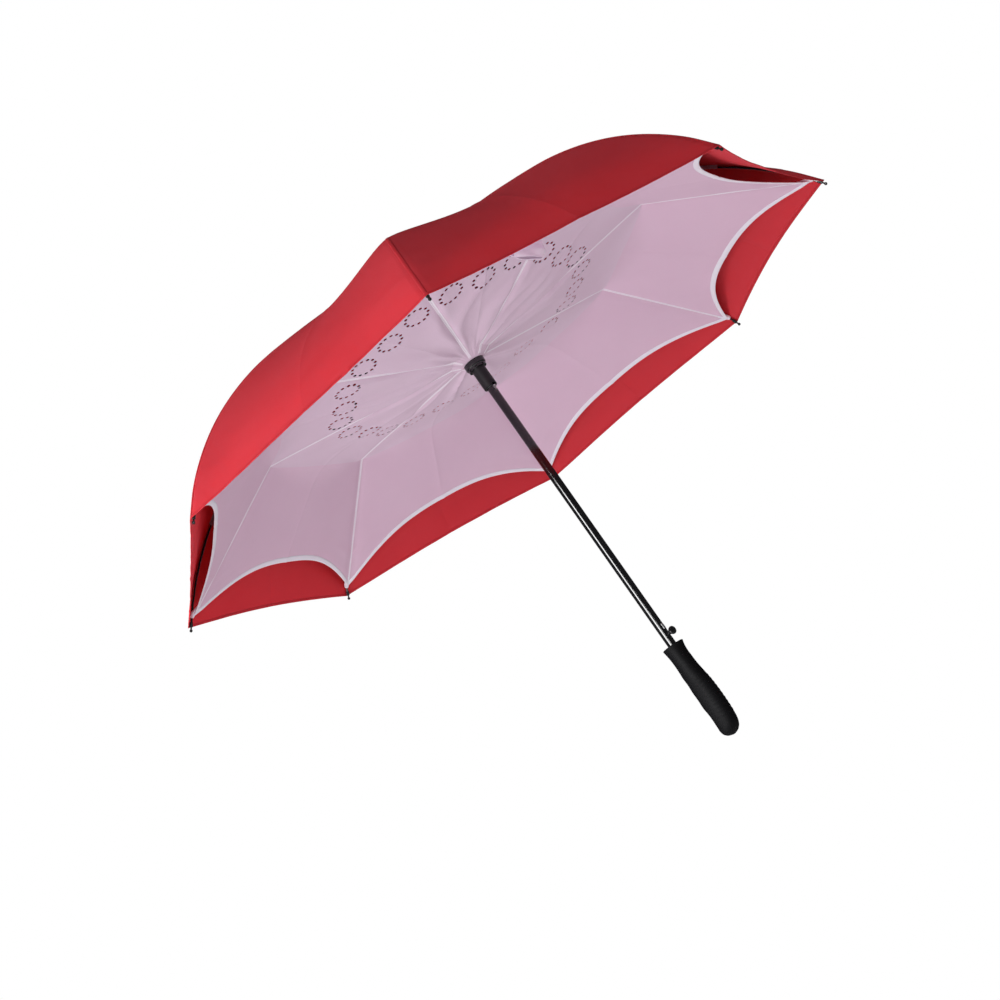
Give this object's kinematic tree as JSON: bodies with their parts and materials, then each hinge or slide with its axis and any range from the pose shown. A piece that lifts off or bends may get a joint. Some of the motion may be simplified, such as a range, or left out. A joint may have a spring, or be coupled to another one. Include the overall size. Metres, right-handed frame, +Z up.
{
  "type": "inverted umbrella",
  "caption": "Open inverted umbrella with a red outer canopy, an off-white scalloped lining, a straight black shaft, a moulded grip and a push-button release.",
  "frame": {"origin": "middle of the grip, on the shaft's axis", "axes": "+Z up along the shaft from the grip to the crown, +X towards the release button and one of the ribs, +Y by the right-hand rule"},
  "size_m": [1.0618, 1.0618, 0.8115],
  "materials": {
    "shaft": "gloss black paint on a steel tube",
    "crown": "moulded black nylon",
    "crown_wire": "drawn wire",
    "crown_cap": "black moulded plastic",
    "handle_core": "hard black plastic",
    "handle_grip": "soft-touch black rubber",
    "outer_canopy": "light woven red cloth, slightly see-through",
    "inner_canopy": "light woven off-white cloth with a lilac cast",
    "opening_spring": "spring steel",
    "runner": "black moulded plastic",
    "runner_collar": "black moulded plastic",
    "runner_wire": "drawn wire",
    "lower_rib": "black painted steel channel",
    "knee_joint": "moulded black nylon",
    "outer_rib": "black glass-fibre rod",
    "rib_tip": "black moulded tip",
    "crown_strut": "black painted steel strip",
    "release_button": "black moulded plastic",
    "latch_leaf": "bright spring steel",
    "top_catch": "dull spring steel",
    "tie_strap": "off-white ribbon"
  },
  "bodies": {
    "frame": {"shaft": "shaft", "crown": "crown", "crown_wire": "crown_wire", "crown_cap": "crown_cap", "handle_core": "handle_core", "handle_grip": "handle_grip", "outer_canopy": "outer_canopy", "opening_spring": "opening_spring"},
    "runner": {"runner": "runner", "runner_collar": "runner_collar", "runner_wire": "runner_wire", "inner_canopy": "inner_canopy"},
    "lower_rib_1": {"lower_rib_1": "lower_rib", "tie_strap": "tie_strap"},
    "outer_rib_1": {"knee_joint_1": "knee_joint", "outer_rib_1": "outer_rib", "rib_tip_1": "rib_tip"},
    "crown_strut_1": {"crown_strut_1": "crown_strut"},
    "lower_rib_2": {"lower_rib_2": "lower_rib"},
    "outer_rib_2": {"knee_joint_2": "knee_joint", "outer_rib_2": "outer_rib", "rib_tip_2": "rib_tip"},
    "crown_strut_2": {"crown_strut_2": "crown_strut"},
    "lower_rib_3": {"lower_rib_3": "lower_rib"},
    "outer_rib_3": {"knee_joint_3": "knee_joint", "outer_rib_3": "outer_rib", "rib_tip_3": "rib_tip"},
    "crown_strut_3": {"crown_strut_3": "crown_strut"},
    "lower_rib_4": {"lower_rib_4": "lower_rib"},
    "outer_rib_4": {"knee_joint_4": "knee_joint", "outer_rib_4": "outer_rib", "rib_tip_4": "rib_tip"},
    "crown_strut_4": {"crown_strut_4": "crown_strut"},
    "lower_rib_5": {"lower_rib_5": "lower_rib"},
    "outer_rib_5": {"knee_joint_5": "knee_joint", "outer_rib_5": "outer_rib", "rib_tip_5": "rib_tip"},
    "crown_strut_5": {"crown_strut_5": "crown_strut"},
    "lower_rib_6": {"lower_rib_6": "lower_rib"},
    "outer_rib_6": {"knee_joint_6": "knee_joint", "outer_rib_6": "outer_rib", "rib_tip_6": "rib_tip"},
    "crown_strut_6": {"crown_strut_6": "crown_strut"},
    "lower_rib_7": {"lower_rib_7": "lower_rib"},
    "outer_rib_7": {"knee_joint_7": "knee_joint", "outer_rib_7": "outer_rib", "rib_tip_7": "rib_tip"},
    "crown_strut_7": {"crown_strut_7": "crown_strut"},
    "lower_rib_8": {"lower_rib_8": "lower_rib"},
    "outer_rib_8": {"knee_joint_8": "knee_joint", "outer_rib_8": "outer_rib", "rib_tip_8": "rib_tip"},
    "crown_strut_8": {"crown_strut_8": "crown_strut"},
    "release_button": {"release_button": "release_button", "latch_leaf": "latch_leaf"},
    "top_catch": {"top_catch": "top_catch"}
  },
  "joints": [
    {"name": "runner_slide", "type": "slide", "parent": "frame", "child": "runner", "axis": [0, 0, -1], "range_m": [0, 0.40472], "stiffness_N_per_m": 90, "springref_m": -0.2, "deforming": ["inner_canopy", "outer_canopy", "opening_spring"]},
    {"name": "lower_rib_1_swing", "type": "hinge", "parent": "runner", "child": "lower_rib_1", "pos_m": [0.0135, 0, 0.5535], "axis": [0, -1, 0], "range_deg": [0, 73.07]},
    {"name": "outer_rib_1_swing", "type": "hinge", "parent": "lower_rib_1", "child": "outer_rib_1", "pos_m": [0.315, 0, 0.5955], "axis": [0, -1, 0], "range_deg": [0, 31.93]},
    {"name": "crown_strut_1_swing", "type": "hinge", "parent": "frame", "child": "crown_strut_1", "pos_m": [0.01215, 0, 0.7055], "axis": [0, -1, 0], "range_deg": [-73.98, 0]},
    {"name": "lower_rib_2_swing", "type": "hinge", "parent": "runner", "child": "lower_rib_2", "pos_m": [0.00955, 0.00955, 0.5535], "axis": [0.7071, -0.7071, 0], "range_deg": [0, 73.07]},
    {"name": "outer_rib_2_swing", "type": "hinge", "parent": "lower_rib_2", "child": "outer_rib_2", "pos_m": [0.22274, 0.22274, 0.5955], "axis": [0.7071, -0.7071, 0], "range_deg": [0, 31.93]},
    {"name": "crown_strut_2_swing", "type": "hinge", "parent": "frame", "child": "crown_strut_2", "pos_m": [0.00859, 0.00859, 0.7055], "axis": [0.7071, -0.7071, 0], "range_deg": [-73.98, 0]},
    {"name": "lower_rib_3_swing", "type": "hinge", "parent": "runner", "child": "lower_rib_3", "pos_m": [0, 0.0135, 0.5535], "axis": [1, 0, 0], "range_deg": [0, 73.07]},
    {"name": "outer_rib_3_swing", "type": "hinge", "parent": "lower_rib_3", "child": "outer_rib_3", "pos_m": [0, 0.315, 0.5955], "axis": [1, 0, 0], "range_deg": [0, 31.93]},
    {"name": "crown_strut_3_swing", "type": "hinge", "parent": "frame", "child": "crown_strut_3", "pos_m": [0, 0.01215, 0.7055], "axis": [1, 0, 0], "range_deg": [-73.98, 0]},
    {"name": "lower_rib_4_swing", "type": "hinge", "parent": "runner", "child": "lower_rib_4", "pos_m": [-0.00955, 0.00955, 0.5535], "axis": [0.7071, 0.7071, 0], "range_deg": [0, 73.07]},
    {"name": "outer_rib_4_swing", "type": "hinge", "parent": "lower_rib_4", "child": "outer_rib_4", "pos_m": [-0.22274, 0.22274, 0.5955], "axis": [0.7071, 0.7071, 0], "range_deg": [0, 31.93]},
    {"name": "crown_strut_4_swing", "type": "hinge", "parent": "frame", "child": "crown_strut_4", "pos_m": [-0.00859, 0.00859, 0.7055], "axis": [0.7071, 0.7071, 0], "range_deg": [-73.98, 0]},
    {"name": "lower_rib_5_swing", "type": "hinge", "parent": "runner", "child": "lower_rib_5", "pos_m": [-0.0135, 0, 0.5535], "axis": [0, 1, 0], "range_deg": [0, 73.07]},
    {"name": "outer_rib_5_swing", "type": "hinge", "parent": "lower_rib_5", "child": "outer_rib_5", "pos_m": [-0.315, 0, 0.5955], "axis": [0, 1, 0], "range_deg": [0, 31.93]},
    {"name": "crown_strut_5_swing", "type": "hinge", "parent": "frame", "child": "crown_strut_5", "pos_m": [-0.01215, 0, 0.7055], "axis": [0, 1, 0], "range_deg": [-73.98, 0]},
    {"name": "lower_rib_6_swing", "type": "hinge", "parent": "runner", "child": "lower_rib_6", "pos_m": [-0.00955, -0.00955, 0.5535], "axis": [-0.7071, 0.7071, 0], "range_deg": [0, 73.07]},
    {"name": "outer_rib_6_swing", "type": "hinge", "parent": "lower_rib_6", "child": "outer_rib_6", "pos_m": [-0.22274, -0.22274, 0.5955], "axis": [-0.7071, 0.7071, 0], "range_deg": [0, 31.93]},
    {"name": "crown_strut_6_swing", "type": "hinge", "parent": "frame", "child": "crown_strut_6", "pos_m": [-0.00859, -0.00859, 0.7055], "axis": [-0.7071, 0.7071, 0], "range_deg": [-73.98, 0]},
    {"name": "lower_rib_7_swing", "type": "hinge", "parent": "runner", "child": "lower_rib_7", "pos_m": [0, -0.0135, 0.5535], "axis": [-1, 0, 0], "range_deg": [0, 73.07]},
    {"name": "outer_rib_7_swing", "type": "hinge", "parent": "lower_rib_7", "child": "outer_rib_7", "pos_m": [0, -0.315, 0.5955], "axis": [-1, 0, 0], "range_deg": [0, 31.93]},
    {"name": "crown_strut_7_swing", "type": "hinge", "parent": "frame", "child": "crown_strut_7", "pos_m": [0, -0.01215, 0.7055], "axis": [-1, 0, 0], "range_deg": [-73.98, 0]},
    {"name": "lower_rib_8_swing", "type": "hinge", "parent": "runner", "child": "lower_rib_8", "pos_m": [0.00955, -0.00955, 0.5535], "axis": [-0.7071, -0.7071, 0], "range_deg": [0, 73.07]},
    {"name": "outer_rib_8_swing", "type": "hinge", "parent": "lower_rib_8", "child": "outer_rib_8", "pos_m": [0.22274, -0.22274, 0.5955], "axis": [-0.7071, -0.7071, 0], "range_deg": [0, 31.93]},
    {"name": "crown_strut_8_swing", "type": "hinge", "parent": "frame", "child": "crown_strut_8", "pos_m": [0.00859, -0.00859, 0.7055], "axis": [-0.7071, -0.7071, 0], "range_deg": [-73.98, 0]},
    {"name": "release_button_press", "type": "slide", "parent": "frame", "child": "release_button", "axis": [-1, 0, 0], "range_m": [0, 0.0025], "stiffness_N_per_m": 400, "springref_m": -0.0006},
    {"name": "top_catch_press", "type": "slide", "parent": "frame", "child": "top_catch", "axis": [-1, 0, 0], "range_m": [0, 0.0022], "stiffness_N_per_m": 400, "springref_m": -0.0006}
  ],
  "couplings": [
    {"joint": "lower_rib_1_swing", "follows": "runner_slide", "rad_per_m": 3.1511},
    {"joint": "outer_rib_1_swing", "follows": "runner_slide", "rad_per_m": 1.377},
    {"joint": "crown_strut_1_swing", "follows": "runner_slide", "rad_per_m": -3.1902},
    {"joint": "lower_rib_2_swing", "follows": "runner_slide", "rad_per_m": 3.1511},
    {"joint": "outer_rib_2_swing", "follows": "runner_slide", "rad_per_m": 1.377},
    {"joint": "crown_strut_2_swing", "follows": "runner_slide", "rad_per_m": -3.1902},
    {"joint": "lower_rib_3_swing", "follows": "runner_slide", "rad_per_m": 3.1511},
    {"joint": "outer_rib_3_swing", "follows": "runner_slide", "rad_per_m": 1.377},
    {"joint": "crown_strut_3_swing", "follows": "runner_slide", "rad_per_m": -3.1902},
    {"joint": "lower_rib_4_swing", "follows": "runner_slide", "rad_per_m": 3.1511},
    {"joint": "outer_rib_4_swing", "follows": "runner_slide", "rad_per_m": 1.377},
    {"joint": "crown_strut_4_swing", "follows": "runner_slide", "rad_per_m": -3.1902},
    {"joint": "lower_rib_5_swing", "follows": "runner_slide", "rad_per_m": 3.1511},
    {"joint": "outer_rib_5_swing", "follows": "runner_slide", "rad_per_m": 1.377},
    {"joint": "crown_strut_5_swing", "follows": "runner_slide", "rad_per_m": -3.1902},
    {"joint": "lower_rib_6_swing", "follows": "runner_slide", "rad_per_m": 3.1511},
    {"joint": "outer_rib_6_swing", "follows": "runner_slide", "rad_per_m": 1.377},
    {"joint": "crown_strut_6_swing", "follows": "runner_slide", "rad_per_m": -3.1902},
    {"joint": "lower_rib_7_swing", "follows": "runner_slide", "rad_per_m": 3.1511},
    {"joint": "outer_rib_7_swing", "follows": "runner_slide", "rad_per_m": 1.377},
    {"joint": "crown_strut_7_swing", "follows": "runner_slide", "rad_per_m": -3.1902},
    {"joint": "lower_rib_8_swing", "follows": "runner_slide", "rad_per_m": 3.1511},
    {"joint": "outer_rib_8_swing", "follows": "runner_slide", "rad_per_m": 1.377},
    {"joint": "crown_strut_8_swing", "follows": "runner_slide", "rad_per_m": -3.1902}
  ]
}
